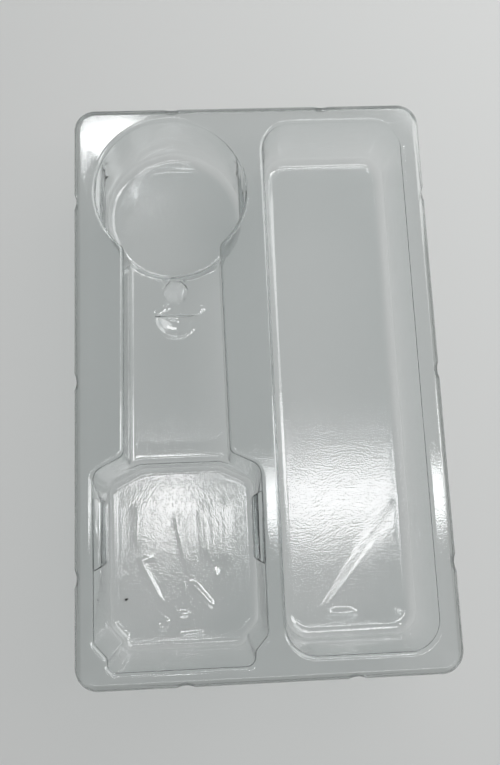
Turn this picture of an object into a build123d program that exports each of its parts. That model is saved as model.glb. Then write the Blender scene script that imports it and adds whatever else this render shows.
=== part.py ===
from build123d import *
from math import atan, cos, degrees, hypot, radians, sin, sqrt, tan
import os

# Formed insert tray: one clear sheet drawn down into a long pocket and a keyed cavity.
# Millimetres. X is across the tray, Y runs to the head end, Z is up from the table.

# Sheet and outside
sheet = 0.5
tray_width = 182.5
tray_length = 291.0
tray_height = 40.5

# Rim that slopes down to an upright skirt, and the rounded lips round the cavities
rim_band = 3.0
rim_drop = 1.6
rim_corner = 11.0
rim_bend = 2.0
skirt_bend = 1.2
skirt_reach = 4.6
lip_round = 2.2

# Small dents pressed into the skirt, which keep stacked trays from sticking
dent_radius = 9.0
dent_depth = 1.2
side_dent_pitch = 94.5
end_dent_pitch = 80.0

# Land left between the trim edge and the cavities, and between the two cavities
key_margin = 8.85
head_margin = 6.5
base_margin = 7.9
pocket_side_margin = 10.25
pocket_near_margin = 10.9
pocket_far_margin = 9.5
web = 8.3

# Long pocket on the right, which takes the width that the keyed cavity leaves
pocket_corner = 15.0
pocket_draft = 4.5
pocket_floor_round = 5.5

# Keyed cavity on the left: round head, narrow neck, square base, all on one axis
head_radius = 39.1
head_draft = 2.5
head_floor_round = 4.5
head_step_round = 5.0

neck_depth = 25.0
neck_half_head = 24.9
neck_half_base = 26.0
neck_draft = 2.5
neck_floor_round = 2.2

base_half = 40.8
base_length = 94.0
base_shoulder_angle = 26.0
base_wall_draft = 4.5
base_end_draft = 6.0
base_far_draft = 10.0
base_shoulder_round = 7.0
base_corner_rise = 7.0
base_corner_round = 6.0
base_floor_round = 4.0
base_step_round = 4.0
tab_inset = 6.4
tab_reach = 6.6
tab_corner = 4.4
tab_inner_round = 3.0

# Snap lugs on both sides of the head and the base, just under the lip
lug_top = 3.0
lug_bottom = 16.0
lug_round = 3.0
head_lug_stand = 3.6
head_lug_splay = 90.0
base_lug_stand = 5.3
base_lug_splay = 60.0
base_lug_length = 29.0
base_lug_setback = 37.0

# Thumb dimple and round pad on the neck floor, measured from the head, and the head's flute
dimple_setback = 22.3
dimple_radius = 11.0
dimple_depth = 3.5
pad_setback = 8.6
pad_radius = 6.0
pad_depth = 1.2
flute_width = 12.0
flute_depth = 0.6
flute_top = 3.2

# Reach of the cutting forms past the sheet, and the slack for finding edges by their place
over = 4.0
under = 20.0
slack = 0.1

# Places that follow from the sizes
full_depth = tray_height - sheet
key_half = max(head_radius, base_half)
key_axis = key_margin + key_half - tray_width / 2
head_y = tray_length / 2 - head_margin - head_radius
neck_far = head_y - head_radius
tab_near = base_margin - tray_length / 2
base_near = tab_near + tab_reach
neck_near = base_near + base_length
pocket_left = key_axis + key_half + web
pocket_right = tray_width / 2 - pocket_side_margin
pocket_near = pocket_near_margin - tray_length / 2
pocket_far = tray_length / 2 - pocket_far_margin


def level(depth):
    # Height above the table of a point that is this far below the land.
    return tray_height - depth


def at_level(form, height):
    return form.edges().filter_by_position(Axis.Z, height - slack, height + slack)


def flat(points):
    return Face(Wire.make_polygon(points))


def moved_outline(corners, insets):
    # Moves each side of a closed outline inwards by its own inset and finds the new corners.
    count = len(corners)
    sides = []
    for i in range(count):
        (ax, ay), (bx, by) = corners[i], corners[(i + 1) % count]
        length = hypot(bx - ax, by - ay)
        nx, ny = -(by - ay) / length, (bx - ax) / length
        sides.append((nx, ny, nx * ax + ny * ay + insets[i]))
    moved = []
    for i in range(count):
        (a, b, c), (d, e, f) = sides[i - 1], sides[i]
        det = a * e - b * d
        moved.append(((c * e - b * f) / det, (a * f - c * d) / det))
    return moved


def drafted_form(corners, drafts, radii, depth, grow):
    # A cavity with flat sloping sides. Corners run anticlockwise, drafts belong to the sides
    # that start at each corner, and a negative radius marks a corner that points into the cavity.
    def outline(drop):
        insets = [drop * tan(radians(d)) - grow / cos(radians(d)) for d in drafts]
        return [(x, y, level(drop)) for x, y in moved_outline(corners, insets)]

    top, bottom = outline(-over), outline(depth + grow)
    sides = [flat([bottom[i - 1], bottom[i], top[i], top[i - 1]]) for i in range(len(corners))]
    form = Solid(Shell([flat(bottom), flat(top)] + sides))
    for corner, radius in zip(top, radii):
        if radius:
            slopes = form.edges().filter_by(lambda e: e.bounding_box().size.Z > depth)
            edge = slopes.sort_by_distance(Vector(*corner))[0]
            form = fillet(edge, radius + grow if radius > 0 else -radius - grow)
    return form


def round_floor(form, depth, radius, grow):
    # Rounds the edges where the walls of a cavity meet its floor.
    return fillet(at_level(form, level(depth + grow)), radius + grow)


def snap_lug(side, wall, stand, y_from, y_to, splay, grow):
    # A lug that stands in from a side wall: flat ledge, upright face, underside sloping back.
    # Its ends splay outwards to the wall by the angle given; a right angle leaves them square.
    face = wall - stand + grow
    far = wall + over
    low = lug_bottom - grow * (sqrt(2) - 1)
    run = (stand + over) / tan(radians(splay))
    slip = grow / sin(radians(splay))
    tip = slip - grow / tan(radians(splay))
    ledge, foot = level(lug_top + grow), level(low)
    section = [(face, ledge), (far, ledge), (far, foot - far + face), (face, foot)]
    bar = flat([(key_axis + side * u, y_from - run, z) for u, z in section])
    bar = extrude(bar, amount=y_to - y_from + 2 * run, dir=(0, 1, 0))
    plan = [(face, y_from + tip), (far, y_from - run + slip), (far, y_to + run - slip), (face, y_to - tip)]
    plan = extrude(flat([(key_axis + side * u, y, 0) for u, y in plan]), amount=tray_height, dir=(0, 0, 1))

    def on_face(edge):
        return abs(abs((edge @ 0.5).X - key_axis) - face) < slack

    bar = fillet(bar.edges().filter_by(Axis.Y).filter_by(on_face), lug_round - grow)
    return bar & fillet(plan.edges().filter_by(Axis.Z).filter_by(on_face), lug_round - grow)


def long_pocket(grow):
    spread = grow / cos(radians(pocket_draft)) + over * tan(radians(pocket_draft))
    mouth = RectangleRounded(pocket_right - pocket_left + 2 * spread, pocket_far - pocket_near + 2 * spread,
                             pocket_corner + spread)
    middle = Pos((pocket_left + pocket_right) / 2, (pocket_near + pocket_far) / 2, level(-over))
    form = extrude(middle * mouth, amount=full_depth + grow + over, dir=(0, 0, -1), taper=pocket_draft)
    return round_floor(form, full_depth, pocket_floor_round, grow)


def round_well(radius, middle_y, top, grow):
    # A drafted round cavity with a rounded floor, up to the height given.
    slope = tan(radians(head_draft))
    spread = radius + grow / cos(radians(head_draft))
    depth = full_depth + grow
    rise = top - level(depth)
    form = Cone(spread - depth * slope, spread + (rise - depth) * slope, rise,
                align=(Align.CENTER, Align.CENTER, Align.MIN))
    form = Pos(key_axis, middle_y, level(depth)) * form
    return round_floor(form, full_depth, head_floor_round, grow)


def head_cavity(grow):
    form = round_well(head_radius, head_y, level(-over), grow)
    # The flute in the far wall is the edge of a smaller well that bulges past the head's there.
    bulge = 1 / (1 / head_radius + 8 * flute_depth / flute_width ** 2)
    form += round_well(bulge, head_y + head_radius + flute_depth - bulge, level(flute_top) + grow, grow)
    for side in (-1, 1):
        form -= snap_lug(side, head_radius, head_lug_stand, neck_far, head_y + head_radius,
                         head_lug_splay, grow)
    return form


def neck_cavity(grow):
    # Runs from the middle of the head to well inside the base.
    near = neck_near - base_half
    widen = (neck_half_base - neck_half_head) / (neck_far - neck_near)
    half_near = neck_half_base + widen * base_half
    half_far = neck_half_head - widen * head_radius
    corners = [(key_axis - half_near, near), (key_axis + half_near, near),
               (key_axis + half_far, head_y), (key_axis - half_far, head_y)]
    form = drafted_form(corners, [0, neck_draft, 0, neck_draft], [0] * 4, neck_depth, grow)
    bottom = level(neck_depth + grow)
    sides = at_level(form, bottom).filter_by(lambda e: e.bounding_box().size.Y > head_radius)
    form = fillet(sides, neck_floor_round + grow)
    ball = (dimple_radius ** 2 + dimple_depth ** 2) / (2 * dimple_depth)
    dimple_y = neck_far - dimple_setback
    dimple = Pos(key_axis, dimple_y, level(neck_depth + dimple_depth - ball)) * Sphere(ball + grow)
    near_half = Box(4 * ball, 2 * ball, 2 * ball, align=(Align.CENTER, Align.MAX, Align.MAX))
    form += dimple & Pos(key_axis, dimple_y + grow, bottom + sheet) * near_half
    pad = Cylinder(pad_radius + grow, pad_depth + 2 * sheet, align=(Align.CENTER, Align.CENTER, Align.MIN))
    form += Pos(key_axis, neck_far - pad_setback, level(neck_depth + pad_depth + grow)) * pad
    return form


def base_cavity(grow):
    rise = tan(radians(base_shoulder_angle))
    shoulder_y = neck_near - (base_half - neck_half_base) * rise
    inner = neck_half_base - over
    inner_y = neck_near + over * rise
    tab_half = base_half - tab_inset
    right = [(tab_half, tab_near), (tab_half, base_near), (base_half, base_near + base_corner_rise),
             (base_half, shoulder_y), (inner, inner_y)]
    left = [(-x, y) for x, y in reversed(right)]
    corners = [(key_axis + x, y) for x, y in right + left]
    drafts = [base_wall_draft, base_end_draft, base_wall_draft, base_far_draft, base_far_draft,
              base_far_draft, base_wall_draft, base_end_draft, base_wall_draft, base_end_draft]
    radii = [tab_corner, -tab_inner_round, base_corner_round, base_shoulder_round, base_shoulder_round]
    form = drafted_form(corners, drafts, radii + radii[::-1], full_depth, grow)
    form = round_floor(form, full_depth, base_floor_round, grow)
    lug_far = neck_near - base_lug_setback + base_lug_length / 2
    for side in (-1, 1):
        form -= snap_lug(side, base_half, base_lug_stand, lug_far - base_lug_length, lug_far,
                         base_lug_splay, grow)
    return form


def rim_block(grow):
    # The block under the land: a band slopes down from the bend to the upright skirt, dented in places.
    slope = rim_band / rim_drop
    back = rim_band + grow * (sqrt(1 + slope ** 2) - slope)
    top = RectangleRounded(tray_width - 2 * back, tray_length - 2 * back, rim_corner - back)
    block = extrude(Pos(0, 0, level(grow)) * top, amount=tray_height + under, dir=(0, 0, -1),
                    taper=-degrees(atan(slope)))
    block = fillet(at_level(block, level(grow)), rim_bend - grow)
    skirt = RectangleRounded(tray_width - 2 * grow, tray_length - 2 * grow, rim_corner - grow)
    block &= extrude(skirt, amount=2 * (tray_height + under), both=True)
    shoulder = level(grow + (back - grow) / slope)
    block = fillet(at_level(block, shoulder), skirt_bend - grow)
    away = dent_radius - dent_depth
    half_x, half_y = tray_width / 2 + away, tray_length / 2 + away
    places = [(sx * half_x, k * side_dent_pitch) for sx in (-1, 1) for k in (-1, 0, 1)]
    places += [(k * end_dent_pitch / 2, sy * half_y) for sy in (-1, 1) for k in (-1, 1)]
    for x, y in places:
        block -= Pos(x, y, level(rim_drop)) * Cylinder(dent_radius + grow, 3 * under)
    return block


def under_sheet(grow):
    # Everything that lies under the sheet surface, set back from its upper face by grow.
    form = rim_block(grow)
    form -= long_pocket(grow)
    form -= head_cavity(grow) + neck_cavity(grow) + base_cavity(grow)

    def beside_neck(edge):
        mid = edge @ 0.5
        in_channel = abs(mid.X - key_axis) < max(neck_half_head, neck_half_base) + over
        return in_channel and grow + slack < tray_height - mid.Z < neck_depth + grow + slack

    def at_head(edge):
        # The edges where the neck breaks through the head's wall.
        mid = edge @ 0.5
        drop = (tray_height - mid.Z) * tan(radians(head_draft))
        wall = head_radius + grow / cos(radians(head_draft)) - drop
        off = hypot(mid.X - key_axis, mid.Y - head_y) - wall
        return beside_neck(edge) and abs(off) < 2 * slack and mid.Y < head_y

    def at_base(edge):
        # The edges where the neck breaks through the base's far wall.
        mid = edge @ 0.5
        fall = (tray_height - mid.Z) * tan(radians(base_far_draft)) + 2 * sheet
        return beside_neck(edge) and neck_near - fall - over < mid.Y < neck_near + over

    form = fillet(form.edges().filter_by(at_head), head_step_round - grow)
    form = fillet(form.edges().filter_by(at_base), base_step_round - grow)
    reach_x = tray_width / 2 - rim_band - rim_bend
    reach_y = tray_length / 2 - rim_band - rim_bend

    def inside_rim(edge):
        mid = edge @ 0.5
        return abs(mid.X) < reach_x and abs(mid.Y) < reach_y

    return fillet(at_level(form, level(grow)).filter_by(inside_rim), lip_round - grow)


def insert_tray():
    # The sheet is what lies between the two surfaces, with the skirt cut off level.
    shell = under_sheet(0) - under_sheet(sheet)
    outline = RectangleRounded(tray_width, tray_length, rim_corner)
    hanging = offset(outline, over) - offset(outline, -rim_band - rim_bend)
    return shell - Pos(0, 0, level(skirt_reach)) * extrude(hanging, amount=2 * tray_height, dir=(0, 0, -1))


if __name__ == "__main__":
    os.makedirs("parts", exist_ok=True)
    export_step(insert_tray(), "parts/insert_tray.step")
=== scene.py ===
import math

import bpy
import numpy as np
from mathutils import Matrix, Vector, geometry


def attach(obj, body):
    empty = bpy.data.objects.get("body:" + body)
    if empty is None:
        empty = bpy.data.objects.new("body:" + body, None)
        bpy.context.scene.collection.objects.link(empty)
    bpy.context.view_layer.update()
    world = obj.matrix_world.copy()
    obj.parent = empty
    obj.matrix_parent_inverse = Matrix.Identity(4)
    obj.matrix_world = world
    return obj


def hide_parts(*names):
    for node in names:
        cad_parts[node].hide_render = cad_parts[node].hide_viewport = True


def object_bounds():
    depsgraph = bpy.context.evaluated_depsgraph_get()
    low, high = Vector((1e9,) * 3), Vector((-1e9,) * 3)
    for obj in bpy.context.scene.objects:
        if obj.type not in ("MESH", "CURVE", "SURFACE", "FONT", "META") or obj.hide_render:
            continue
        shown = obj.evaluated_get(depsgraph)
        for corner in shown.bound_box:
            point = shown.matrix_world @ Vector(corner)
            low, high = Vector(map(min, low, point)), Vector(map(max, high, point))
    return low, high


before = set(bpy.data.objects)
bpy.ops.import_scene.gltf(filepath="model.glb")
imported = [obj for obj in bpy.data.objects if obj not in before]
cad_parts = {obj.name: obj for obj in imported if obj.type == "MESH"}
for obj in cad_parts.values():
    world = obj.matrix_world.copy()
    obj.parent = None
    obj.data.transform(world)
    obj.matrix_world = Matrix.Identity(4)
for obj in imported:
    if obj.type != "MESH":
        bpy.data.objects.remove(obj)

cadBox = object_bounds()
mm = 0.001


def toLinear(hexColour):
    # sRGB hex to linear RGBA
    srgb = np.array([int(hexColour[i:i + 2], 16) for i in (1, 3, 5)]) / 255
    linear = np.where(srgb <= 0.04045, srgb / 12.92, ((srgb + 0.055) / 1.055) ** 2.4)
    return tuple(float(v) for v in linear) + (1.0,)


def addNode(tree, kind, settings=None, links=None):
    # settings go to sockets by name, or to the node itself; links are socket name -> output socket
    node = tree.nodes.new(kind)
    for key, value in (settings or {}).items():
        if key in node.inputs:
            node.inputs[key].default_value = value
        else:
            setattr(node, key, value)
    for key, source in (links or {}).items():
        tree.links.new(source, node.inputs[key])
    return node


def newMaterial(name):
    material = bpy.data.materials.new(name)
    material.use_nodes = True
    material.node_tree.nodes.clear()
    return material, material.node_tree


# The formed sheet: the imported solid's own skin, with its floors cut finer and warped as the real ones are.
# Places and sizes are in millimetres, in the tray's own frame.

keyAxis = -41.6                   # x of the line that head, neck and base share
headMiddle = 99.9
halfTurn = np.linspace(math.pi, 2 * math.pi, 25)
dimpleEdge = [(keyAxis + 11.0 * math.cos(a), 38.5 + 11.0 * math.sin(a)) for a in halfTurn]

trayParams = {
    "sheet": 0.5,
    "land": 40.5,
    "mainFloor": 0.5,             # height of the upper face of the deep floors
    "floorFade": 5.0,             # their warps die out over this height up the walls
    "neckFloor": 15.5,            # height of the upper face of the neck's floor
    "neckHalf": 30.0,             # the neck's floor lies this close to the axis
    "neckEnds": (-30.0, headMiddle - 30),
    "neckFade": (3.0, 2.0),       # its warps hold over the first height, and die out over the second
    "weld": 0.002,                # corners that lie closer are one
    "longestEdge": 2.5,           # between corners of the floors' triangles
    "fineEdge": 0.8,              # and beside the warps
    "fineReach": (2.5, 1.0),      # beside a crease: this many half widths, and so much more
    "fineDome": 1.2,              # on a dome: up to this square of its reach
    "padMiddle": (keyAxis, 52.2),
    "padRadius": 6.0,
    "padDepth": 1.2,
    "padMargin": 1.0,             # round the pad
    "padBand": 0.4,               # above and below the middle of its sheet
    "padRunOut": 3.0,             # the pad starts to run out this far behind its middle
    "headRadius": 39.1,
    "headDraft": 2.5,             # degrees
    "fluteReach": 7.0,
    "fluteTop": 2.6,              # below the land
    "fluteDeepest": 1.0,
    "fluteFade": (24.0, 36.5),    # heights between which the flute runs out
    "rimShadeBand": (2.0, 2.0),        # width of the rim band whose tint is darker, painted shade partly and the thicker sheet partly, and of its change to the land
    "frostFade": (0.8, 0.8),      # height up to which a floor has grain, and over which it dies out
    "bareWidth": 1.9,             # creases of at most this half width lose grain
    "bareShare": 0.9,             # how much of it
    "bareSpread": 1.2,            # over so many half widths
    # raised creases: a path across a floor, the height and half width of the ridge
    "creaseTaper": 4,             # at each end it rises over one part in so many of its path
    "creases": [
        {"floor": "main", "height": 0.36, "width": 1.15,
         "path": [(-55.7, -87.4), (-64.1, -89.6), (-51.6, -115.0)]},
        {"floor": "main", "height": 0.45, "width": 1.5, "path": [(-39.2, -100.0), (-25.2, -116.6)]},
        {"floor": "main", "height": 0.32, "width": 1.1, "path": [(-24.3, -93.4), (-25.1, -116.2)]},
        {"floor": "main", "height": 0.36, "width": 1.1,
         "path": [(-50.1, -118.6), (-52.3, -124.0), (-57.4, -123.2)]},
        {"floor": "main", "height": 0.24, "width": 1.2, "path": [(-72.1, -94.3), (-77.4, -103.4)]},
        {"floor": "main", "height": 0.35, "width": 1.2,
         "path": [(-46.3, -128.0), (-41.5, -128.1), (-32.7, -127.4), (-31.1, -126.5)]},
        {"floor": "main", "height": 0.50, "width": 1.3,
         "path": [(-62.3, 129.9), (-52.0, 129.2), (-41.0, 129.8), (-23.7, 129.0)]},
        {"floor": "main", "height": 0.16, "width": 2.0,
         "path": [(-46.0, -62.0), (-42.0, -84.0), (-39.5, -98.0)]},
        {"floor": "main", "height": 0.20, "width": 2.6,
         "path": [(-32.0, -58.0), (-31.0, -76.0), (-30.0, -92.0)]},
        {"floor": "main", "height": 0.24, "width": 3.2,
         "path": [(-19.5, -57.0), (-20.5, -76.0), (-21.0, -96.0)]},
        {"floor": "main", "height": 0.18, "width": 2.6, "path": [(-65.0, -58.0), (-66.5, -84.0)]},
        {"floor": "neck", "height": 0.45, "width": 1.0, "path": dimpleEdge},
        {"floor": "neck", "height": 0.40, "width": 1.1,
         "path": [(-54.5, 41.8), (-52.6, 39.5), (-47.5, 43.2), (-42.6, 44.2)]},
        {"floor": "neck", "height": 0.45, "width": 1.1,
         "path": [(-29.9, 39.3), (-28.2, 42.1), (-24.9, 43.6)]},
        {"floor": "neck", "height": 0.30, "width": 0.9, "path": [(-40.2, 46.1), (-39.0, 39.6)]},
        {"floor": "neck", "height": 0.25, "width": 1.0, "path": [(-53.2, 37.9), (-53.1, 28.5)]},
    ],
    # long steps where one side of a floor stands higher: the half width runs from one end to the other,
    # and the higher side sinks back over the reach
    "stepTaper": 12,              # as for the creases
    "steps": [
        {"floor": "main", "height": 0.50, "width": (6.5, 1.0), "reach": 38.0,
         "path": [(74.0, -62.0), (27.7, -119.7)]},
    ],
    # shallow domes: middle, half length and half width, height
    "domes": [
        {"floor": "main", "middle": (39.7, -121.0), "radii": (11.0, 3.8), "height": 0.7},
        {"floor": "main", "middle": (-42.3, -117.6), "radii": (4.0, 2.4), "height": 0.35},
    ],
}


def cadSkin(node, params):
    # the node's corners in mm and its triangles, with corners that share a place made one
    mesh = node.data
    mesh.calc_loop_triangles()
    corners = np.empty(len(mesh.vertices) * 3)
    mesh.vertices.foreach_get("co", corners)
    corners = corners.reshape(-1, 3) / mm
    triangles = np.empty(len(mesh.loop_triangles) * 3, np.int32)
    mesh.loop_triangles.foreach_get("vertices", triangles)
    places = np.round(corners / params["weld"]).astype(np.int64)
    first, same = np.unique(places, axis=0, return_index=True, return_inverse=True)[1:]
    triangles = same.reshape(-1)[triangles].reshape(-1, 3)
    whole = ((triangles[:, 0] != triangles[:, 1]) & (triangles[:, 1] != triangles[:, 2])
             & (triangles[:, 2] != triangles[:, 0]))
    return corners[first], triangles[whole]


def alongPath(points, path):
    # for each point the distance to the nearest place on the path, which side it is on, and how
    # far along the whole path that place lies, from 0 to 1
    path = np.array(path)
    lengths = np.linalg.norm(np.diff(path, axis=0), axis=1)
    starts = np.concatenate([[0], np.cumsum(lengths)])
    best = np.full(len(points), np.inf)
    side = np.zeros(len(points))
    share = np.zeros(len(points))
    for i, length in enumerate(lengths):
        way = (path[i + 1] - path[i]) / length
        off = points[:, :2] - path[i]
        run = np.clip(off @ way, 0, length)
        gap = np.linalg.norm(off - run[:, None] * way, axis=1)
        closer = gap < best
        best = np.where(closer, gap, best)
        side = np.where(closer, np.sign(off[:, 1] * way[0] - off[:, 0] * way[1]), side)
        share = np.where(closer, (starts[i] + run) / starts[-1], share)
    return best, side, share


def easeIn(x):
    # 0 below 0, 1 above 1, and a soft curve between
    x = np.clip(x, 0, 1)
    return x * x * (3 - 2 * x)


def tapered(share, taper):
    # 0 at both ends of a path, 1 once the taper's part of it is passed
    return easeIn(share * taper) * easeIn((1 - share) * taper)


def floorShare(points, floor, params):
    # 1 on the named floor, falling to 0 up the walls round it; the deep floors lie below the neck's
    x, y, z = points.T
    if floor == "main":
        return 1 - easeIn((z - params["mainFloor"]) / params["floorFade"])
    near, far = params["neckEnds"]
    hold, fade = params["neckFade"]
    inNeck = (np.abs(x - keyAxis) < params["neckHalf"]) & (y < far) & (y > near)
    return inNeck * (1 - easeIn((np.abs(z - params["neckFloor"]) - hold) / fade))


def insideLoops(spots, starts, ends):
    # a spot is inside when a line from it to the right crosses the border an odd number of times
    inside = np.zeros(len(spots), bool)
    for (ax, ay), (bx, by) in zip(starts, ends):
        spans = (ay > spots[:, 1]) != (by > spots[:, 1])
        if ay != by:
            inside ^= spans & (spots[:, 0] < ax + (spots[:, 1] - ay) * (bx - ax) / (by - ay))
    return inside


def rowsOfSpots(low, high, spacing):
    # rows of spots, every second row shifted by half a spacing
    rows = np.arange(low[1], high[1], spacing * math.sqrt(0.75))
    across = np.arange(low[0], high[0], spacing)
    x = across[None, :] + spacing / 2 * (np.arange(len(rows)) % 2)[:, None]
    return np.stack([x.ravel(), np.repeat(rows, len(across))], 1)


def besideWarps(spots, floor, params):
    # close to a crease or a step, or on a dome
    widths, more = params["fineReach"]
    close = np.zeros(len(spots), bool)
    for fold in params["creases"] + params["steps"]:
        if fold["floor"] == floor:
            close |= alongPath(spots, fold["path"])[0] < widths * np.min(fold["width"]) + more
    for dome in params["domes"]:
        if dome["floor"] == floor:
            off = (spots - np.array(dome["middle"])) / np.array(dome["radii"])
            close |= (off ** 2).sum(1) < params["fineDome"]
    return close


def evenFloor(points, triangles, height, floor, params):
    # takes out the flat triangles at one height and fills their outline with small even ones,
    # finest beside the warps
    flat = (np.abs(points[triangles][:, :, 2] - height) < params["weld"]).all(1)
    ends = np.sort(triangles[flat][:, [[0, 1], [1, 2], [2, 0]]], axis=2).reshape(-1, 2)
    ends, uses = np.unique(ends, axis=0, return_counts=True)
    border = ends[uses == 1]
    rim, number = np.unique(border, return_inverse=True)
    number = number.reshape(-1, 2)
    outline = points[rim][:, :2]
    starts = points[border[:, 0], :2]
    stops = points[border[:, 1], :2]
    low, high = outline.min(0), outline.max(0)
    coarse = rowsOfSpots(low, high, params["longestEdge"])
    fine = rowsOfSpots(low, high, params["fineEdge"])
    spots = np.vstack([coarse[~besideWarps(coarse, floor, params)], fine[besideWarps(fine, floor, params)]])
    spots = spots[insideLoops(spots, starts, stops)]
    # no spot on the border, which the walls' triangles share
    gap = np.min([alongPath(spots, edge)[0] for edge in zip(starts, stops)], axis=0)
    spots = spots[gap > params["fineEdge"] / 2]
    corners = [Vector(p) for p in np.vstack([outline, spots]).tolist()]
    filled = geometry.delaunay_2d_cdt(corners, number.tolist(), [], 0, 1e-5)
    places = np.array([tuple(v) for v in filled[0]])
    faces = np.array(filled[2])
    faces = faces[insideLoops(places[faces].mean(1), starts, stops)]
    # the new corners take the numbers of the old ones where they share a place
    origin = np.array([near[0] if near else -1 for near in filled[3]])
    onRim = (origin >= 0) & (origin < len(rim))
    index = np.where(onRim, rim[np.where(onRim, origin, 0)], len(points) + np.cumsum(~onRim) - 1)
    added = np.column_stack([places[~onRim], np.full((~onRim).sum(), height)])
    faces = index[faces]
    a, b, c = points[triangles[flat][0]]
    if np.cross(b - a, c - a)[2] < 0:
        faces = faces[:, ::-1]
    return np.vstack([points, added]), np.vstack([triangles[~flat], faces])


def warped(points, params):
    # every warp only lifts: a ridge is a bell curve across its path, a step an S curve across it, both
    # tapered at their ends, and a dome the square of one minus the square of its distance
    lift = np.zeros(len(points))
    for crease in params["creases"]:
        gap, _, share = alongPath(points, crease["path"])
        bell = np.exp(-(gap / crease["width"]) ** 2) * tapered(share, params["creaseTaper"])
        lift += crease["height"] * bell * floorShare(points, crease["floor"], params)
    for step in params["steps"]:
        gap, side, share = alongPath(points, step["path"])
        width = step["width"][0] + (step["width"][1] - step["width"][0]) * share
        rise = easeIn(0.5 + 0.5 * gap * side / width) * (1 - easeIn((gap - width) / step["reach"]))
        rise *= tapered(share, params["stepTaper"])
        lift += step["height"] * rise * floorShare(points, step["floor"], params)
    for dome in params["domes"]:
        off = (points[:, :2] - np.array(dome["middle"])) / np.array(dome["radii"])
        lift += (dome["height"] * np.clip(1 - (off ** 2).sum(1), 0, 1) ** 2
                 * floorShare(points, dome["floor"], params))
    # the round pad beside the head runs out into the neck's floor on its near side
    fromPad = np.linalg.norm(points[:, :2] - np.array(params["padMiddle"]), axis=1)
    overPad = points[:, 2] - params["neckFloor"] + params["padDepth"] + params["sheet"] / 2
    sunk = (fromPad < params["padRadius"] + params["padMargin"]) & (np.abs(overPad) < params["padBand"])
    along = (params["padMiddle"][1] + params["padRunOut"] - points[:, 1]) / params["padRadius"]
    lift += sunk * params["padDepth"] * easeIn(along)
    moved = points.copy()
    moved[:, 2] += lift
    return moved


def fadedFlute(points, triangles, params):
    # the flute runs out below the lip: what lies outside the head's round wall is drawn back to it
    a, b, c = points[triangles].transpose(1, 0, 2)
    facing = np.zeros_like(points)
    for corner in range(3):
        np.add.at(facing, triangles[:, corner], np.cross(b - a, c - a))
    height = points[:, 2]
    off = points[:, :2] - np.array([keyAxis, headMiddle])
    radius = np.linalg.norm(off, axis=1)
    outer = (facing[:, :2] * off).sum(1) > 0
    slope = math.tan(math.radians(params["headDraft"]))
    wall = params["headRadius"] - (params["land"] - height) * slope + params["sheet"] * outer
    inFlute = (np.abs(off[:, 0]) < params["fluteReach"]) & (off[:, 1] > 0)
    inFlute &= height < params["land"] - params["fluteTop"]
    excess = np.where(inFlute & (radius > wall), radius - wall, 0)
    excess = np.where(excess < params["fluteDeepest"], excess, 0)
    start, end = params["fluteFade"]
    back = excess * easeIn((height - start) / (end - start))
    moved = points.copy()
    moved[:, :2] -= off / np.maximum(radius, 1)[:, None] * back[:, None]
    return moved


def drawnAndShadeShare(points, params):
    # how far the sheet was drawn down: 0 at the land, 1 on the deep floors, and down to -1 in the rim band;
    # the tint follows it, so land and rim are darker, partly as painted shade, partly for the thicker sheet
    low, high = np.array(cadBox) / mm
    rim = np.min([points[:, 0] - low[0], high[0] - points[:, 0],
                  points[:, 1] - low[1], high[1] - points[:, 1]], axis=0)
    width, change = params["rimShadeBand"]
    return easeIn((high[2] - points[:, 2]) / (high[2] - low[2])) - (1 - easeIn((rim - width) / change))


def frostShare(points, params):
    # where the mould's grain shows: the flat floors, less so on the stretched tops of the narrow creases
    hold, fade = params["frostFade"]
    half = params["sheet"] / 2
    frost = np.zeros(len(points))
    for floor in ("main", "neck"):
        rise = np.abs(points[:, 2] - params[floor + "Floor"] + half) - half
        onFloor = floorShare(points, floor, params) > 0
        frost = np.maximum(frost, (1 - easeIn((rise - hold) / fade)) * onFloor)
    for crease in params["creases"]:
        if crease["width"] <= params["bareWidth"]:
            gap = alongPath(points, crease["path"])[0]
            frost *= 1 - params["bareShare"] * np.exp(-(gap / crease["width"] / params["bareSpread"]) ** 2)
    return frost


def buildSheet(name, points, triangles, params):
    mesh = bpy.data.meshes.new(name)
    mesh.from_pydata((points * mm).tolist(), [], triangles.tolist())
    mesh.update()
    mesh.shade_smooth()
    for share, values in (("drawnAndShade", drawnAndShadeShare(points, params)), ("frost", frostShare(points, params))):
        mesh.attributes.new(share, "FLOAT", "POINT").data.foreach_set("value", values)
    piece = bpy.data.objects.new(name, mesh)
    bpy.context.scene.collection.objects.link(piece)
    # large faces stay flat beside the bends
    piece.modifiers.new("faceWeight", "WEIGHTED_NORMAL")
    return piece


skinPoints, skinTriangles = cadSkin(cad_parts["insert_tray"], trayParams)
print("cad skin", len(skinPoints), len(skinTriangles))
for face in (0, trayParams["sheet"]):
    for floor in ("main", "neck"):
        height = trayParams[floor + "Floor"] - face
        skinPoints, skinTriangles = evenFloor(skinPoints, skinTriangles, height, floor, trayParams)
print("floors cut finer", len(skinPoints), len(skinTriangles))
skinPoints = fadedFlute(warped(skinPoints, trayParams), skinTriangles, trayParams)
traySheet = buildSheet("traySheet", skinPoints, skinTriangles, trayParams)
print("floors warped")


# Clear PET, vacuum formed: glossy and clear, a little light lost at each pass. Its tint is darker on the
# land and darkest
# round the rim: painted shade for the table in the land's shadow and for the dark rim line, with the thicker
# sheet there as the lesser part. The mould's grain frosts the drawn floors, so that a lamp breaks up into
# sparkles there, while the land mirrors it almost whole.

petParams = {
    "rimShadeTint": "#CDD0CF",       # darker tint at the rim: painted shade for its dark line, partly the thicker sheet
    "landShadeTint": "#E6E9E9",      # darker tint on the land: painted shade for the table in its shadow, partly the thicker sheet
    "floorColour": "#F8F9F9",     # and on the drawn floors
    "shade": "#F7F8F8",           # what each face lets through to the table
    "roughness": 0.02,
    "ior": 1.575,
    "grainWidth": 0.9,            # mm from bump to bump
    "landGrain": 0.022,           # mm high
    "floorGrain": 0.052,
}


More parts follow.
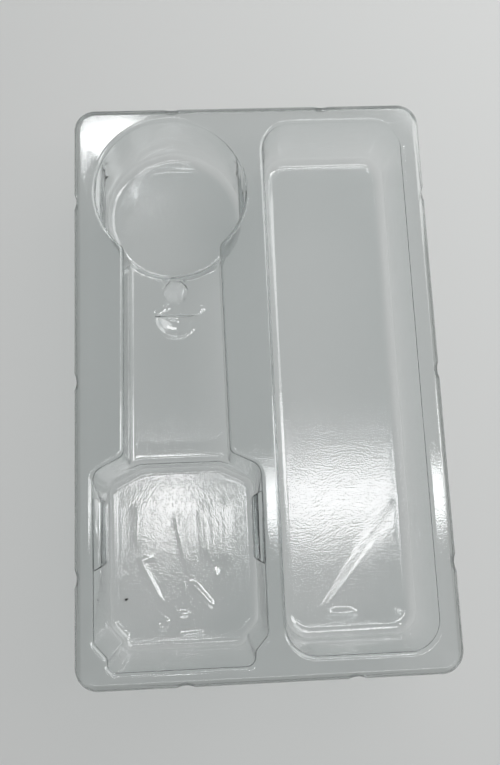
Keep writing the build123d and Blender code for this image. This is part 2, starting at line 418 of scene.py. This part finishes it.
def clearPet(params):
    material, tree = newMaterial("clearPetFormed")
    place = addNode(tree, "ShaderNodeTexCoord")
    drawnAndShade = addNode(tree, "ShaderNodeAttribute", {"attribute_name": "drawnAndShade"})
    # the attribute runs from -1 at the rim to 1 on the floors
    share = addNode(tree, "ShaderNodeMapRange", {"From Min": -1.0}, {"Value": drawnAndShade.outputs["Fac"]})
    # the ramp makes the land and rim tints darker than the floors': painted shade, partly the thicker sheet
    shadeTint = addNode(tree, "ShaderNodeValToRGB", links={"Fac": share.outputs[0]})
    stops = shadeTint.color_ramp.elements
    stops[0].color = toLinear(params["rimShadeTint"])
    stops[1].color = toLinear(params["floorColour"])
    stops.new(0.5).color = toLinear(params["landShadeTint"])
    grain = addNode(tree, "ShaderNodeTexNoise", {
        "Scale": 1 / (params["grainWidth"] * mm), "Detail": 1.0, "Roughness": 0.4},
        {"Vector": place.outputs["Object"]})
    frost = addNode(tree, "ShaderNodeAttribute", {"attribute_name": "frost"})
    depth = addNode(tree, "ShaderNodeMapRange", {
        "To Min": params["landGrain"] / params["floorGrain"], "To Max": 1.0},
        {"Value": frost.outputs["Fac"]})
    relief = addNode(tree, "ShaderNodeBump", {"Distance": params["floorGrain"] * mm},
                     {"Height": grain.outputs["Fac"], "Strength": depth.outputs[0]})
    glass = addNode(tree, "ShaderNodeBsdfPrincipled", {
        "Roughness": params["roughness"], "IOR": params["ior"], "Transmission Weight": 1.0},
        {"Base Color": shadeTint.outputs["Color"], "Normal": relief.outputs[0]})
    through = addNode(tree, "ShaderNodeBsdfTransparent", {"Color": toLinear(params["shade"])})
    rays = addNode(tree, "ShaderNodeLightPath")
    # lamp rays and the table's own bounces pass straight through
    surface = glass.outputs[0]
    for kind in ("Is Shadow Ray", "Is Diffuse Ray"):
        mix = addNode(tree, "ShaderNodeMixShader", links={"Fac": rays.outputs[kind]})
        tree.links.new(surface, mix.inputs[1])
        tree.links.new(through.outputs[0], mix.inputs[2])
        surface = mix.outputs[0]
    addNode(tree, "ShaderNodeOutputMaterial", links={"Surface": surface})
    return material


traySheet.data.materials.append(clearPet(petParams))
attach(traySheet, "root")
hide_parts("insert_tray")
print("clear sheet set")


# A speck of dirt that lies on the base floor

speckParams = {
    "place": (-72.0, -108.8),     # mm
    "radius": 0.75,
    "height": 0.35,
    "sides": 12,
    "swing": (0.25, 0.15),        # of the radius, in two and in three waves round it
    "colour": "#4A4A48",
    "roughness": 0.8,
}


def dirtSpeck(params, rest):
    # a flat grain with an uneven outline: a ring on the floor, whose radius swings by two sine waves, and
    # one raised point over its middle
    sides = params["sides"]
    x, y = params["place"]
    turns = np.linspace(0, 2 * math.pi, sides, endpoint=False)
    two, three = params["swing"]
    reach = params["radius"] * (1 + two * np.sin(2 * turns + 1) + three * np.sin(3 * turns))
    ring = np.stack([x + reach * np.cos(turns), y + reach * np.sin(turns), np.full(sides, rest)], 1)
    middles = np.array([[x, y, rest + params["height"]], [x, y, rest]])
    here = np.arange(sides)
    after = (here + 1) % sides
    upper = np.stack([here, after, np.full(sides, sides)], 1)
    lower = np.stack([after, here, np.full(sides, sides + 1)], 1)
    mesh = bpy.data.meshes.new("dirtSpeck")
    mesh.from_pydata((np.vstack([ring, middles]) * mm).tolist(), [], np.vstack([upper, lower]).tolist())
    speck = bpy.data.objects.new("dirtSpeck", mesh)
    bpy.context.scene.collection.objects.link(speck)
    # dull dark grit, as dust that has stuck to the sheet
    material, tree = newMaterial("darkGrit")
    grit = addNode(tree, "ShaderNodeBsdfPrincipled", {
        "Base Color": toLinear(params["colour"]), "Roughness": params["roughness"]})
    addNode(tree, "ShaderNodeOutputMaterial", links={"Surface": grit.outputs[0]})
    mesh.materials.append(material)
    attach(speck, "root")


dirtSpeck(speckParams, trayParams["mainFloor"])
print("dirt speck set")


# Stage: pale table, soft light, camera above the near end

stageParams = {
    "floorSize": 4.0,
    "floorGap": 0.3 * mm,         # keeps the two flat faces from lying in one plane
    "floorColour": "#D4D5D4",
    "floorRoughness": 0.7,
    "floorGloss": 0.2,
    "zenithColour": "#7E8080",    # the room as the sheet mirrors it, straight up
    "horizonColour": "#D6D8D8",   # and at eye level
    "horizonRise": 0.45,          # height of a ray's direction at which the eye level tone has faded
    "roomStrength": 0.5,
}

# place in metres, aim, size, watts
lampParams = [
    {"name": "ceilingFar", "place": (-0.306, 0.978, 1.6), "aim": (-0.306, 0.978, 0),
     "size": (0.17, 0.12), "power": 1.0},
    {"name": "softRight", "place": (0.9, 0.88, 0.8), "aim": (0, 0, 0),
     "size": (1.2, 1.2), "power": 12.8},
    {"name": "ceilingLeft", "place": (-0.18, -0.035, 1.9), "aim": (-0.18, -0.035, 0),
     "size": (0.18, 0.172), "power": 1.1},
    {"name": "ceilingRight", "place": (0.375, -0.035, 1.9), "aim": (0.375, -0.035, 0),
     "size": (0.63, 0.172), "power": 3.0},
    {"name": "frontStrip", "place": (0.15, -0.95, 1.9), "aim": (0, 0, 0),
     "size": (1.6, 0.34), "power": 6.5},
    {"name": "rightStrip", "place": (1.4, 0.1, 1.3), "aim": (0, 0, 0),
     "size": (0.36, 1.3), "power": 8.5},
    {"name": "farStrip", "place": (0.35, 1.8, 1.4), "aim": (0, 0, 0),
     "size": (1.0, 0.34), "power": 6.8},
]

cameraParams = {
    "place": (-0.01938, -0.06703, 0.39934),
    "turn": (10.122, -1.949, -2.403),   # degrees about X, Y, Z
    "lens": 34.61,                      # mm on a frame 36 mm high
    "frameHeight": 36.0,
}


def paleFloor(params):
    half = params["floorSize"] / 2
    low = -params["floorGap"]
    mesh = bpy.data.meshes.new("paleFloor")
    mesh.from_pydata([(-half, -half, low), (half, -half, low), (half, half, low), (-half, half, low)],
                     [], [(0, 1, 2, 3)])
    floor = bpy.data.objects.new("paleFloor", mesh)
    bpy.context.scene.collection.objects.link(floor)
    # smooth painted table top, nearly matte
    material, tree = newMaterial("paleTable")
    paint = addNode(tree, "ShaderNodeBsdfPrincipled", {
        "Base Color": toLinear(params["floorColour"]), "Roughness": params["floorRoughness"],
        "Specular IOR Level": params["floorGloss"]})
    addNode(tree, "ShaderNodeOutputMaterial", links={"Surface": paint.outputs[0]})
    mesh.materials.append(material)


def softWorld(params):
    # pale walls at eye level under a darker ceiling, by the height of the ray's direction
    world = bpy.data.worlds.new("softRoom")
    bpy.context.scene.world = world
    world.use_nodes = True
    tree = world.node_tree
    tree.nodes.clear()
    way = addNode(tree, "ShaderNodeTexCoord")
    height = addNode(tree, "ShaderNodeSeparateXYZ", links={"Vector": way.outputs["Generated"]})
    rise = addNode(tree, "ShaderNodeMapRange", {"From Max": params["horizonRise"]},
                   {"Value": height.outputs["Z"]})
    tone = addNode(tree, "ShaderNodeMix", {"data_type": "RGBA"})
    tree.links.new(rise.outputs[0], tone.inputs["Factor"])
    # sockets 6 and 7 are the two colours, output 2 the mixed one
    tone.inputs[6].default_value = toLinear(params["horizonColour"])
    tone.inputs[7].default_value = toLinear(params["zenithColour"])
    glow = addNode(tree, "ShaderNodeBackground", {"Strength": params["roomStrength"]},
                   {"Color": tone.outputs[2]})
    addNode(tree, "ShaderNodeOutputWorld", links={"Surface": glow.outputs[0]})


def addLamp(spec):
    lamp = bpy.data.lights.new(spec["name"], "AREA")
    lamp.shape = "RECTANGLE"
    lamp.size, lamp.size_y = spec["size"]
    lamp.energy = spec["power"]
    holder = bpy.data.objects.new(spec["name"], lamp)
    bpy.context.scene.collection.objects.link(holder)
    holder.location = spec["place"]
    look = Vector(spec["aim"]) - Vector(spec["place"])
    holder.rotation_euler = look.to_track_quat("-Z", "Y").to_euler()


def addCamera(params):
    data = bpy.data.cameras.new("camera")
    data.sensor_fit = "VERTICAL"
    data.sensor_height = params["frameHeight"]
    data.lens = params["lens"]
    camera = bpy.data.objects.new("camera", data)
    bpy.context.scene.collection.objects.link(camera)
    camera.location = params["place"]
    camera.rotation_euler = [math.radians(a) for a in params["turn"]]
    bpy.context.scene.camera = camera


paleFloor(stageParams)
softWorld(stageParams)
for spec in lampParams:
    addLamp(spec)
addCamera(cameraParams)
bpy.context.scene.view_settings.view_transform = "Standard"
print("stage, lamps and camera set")
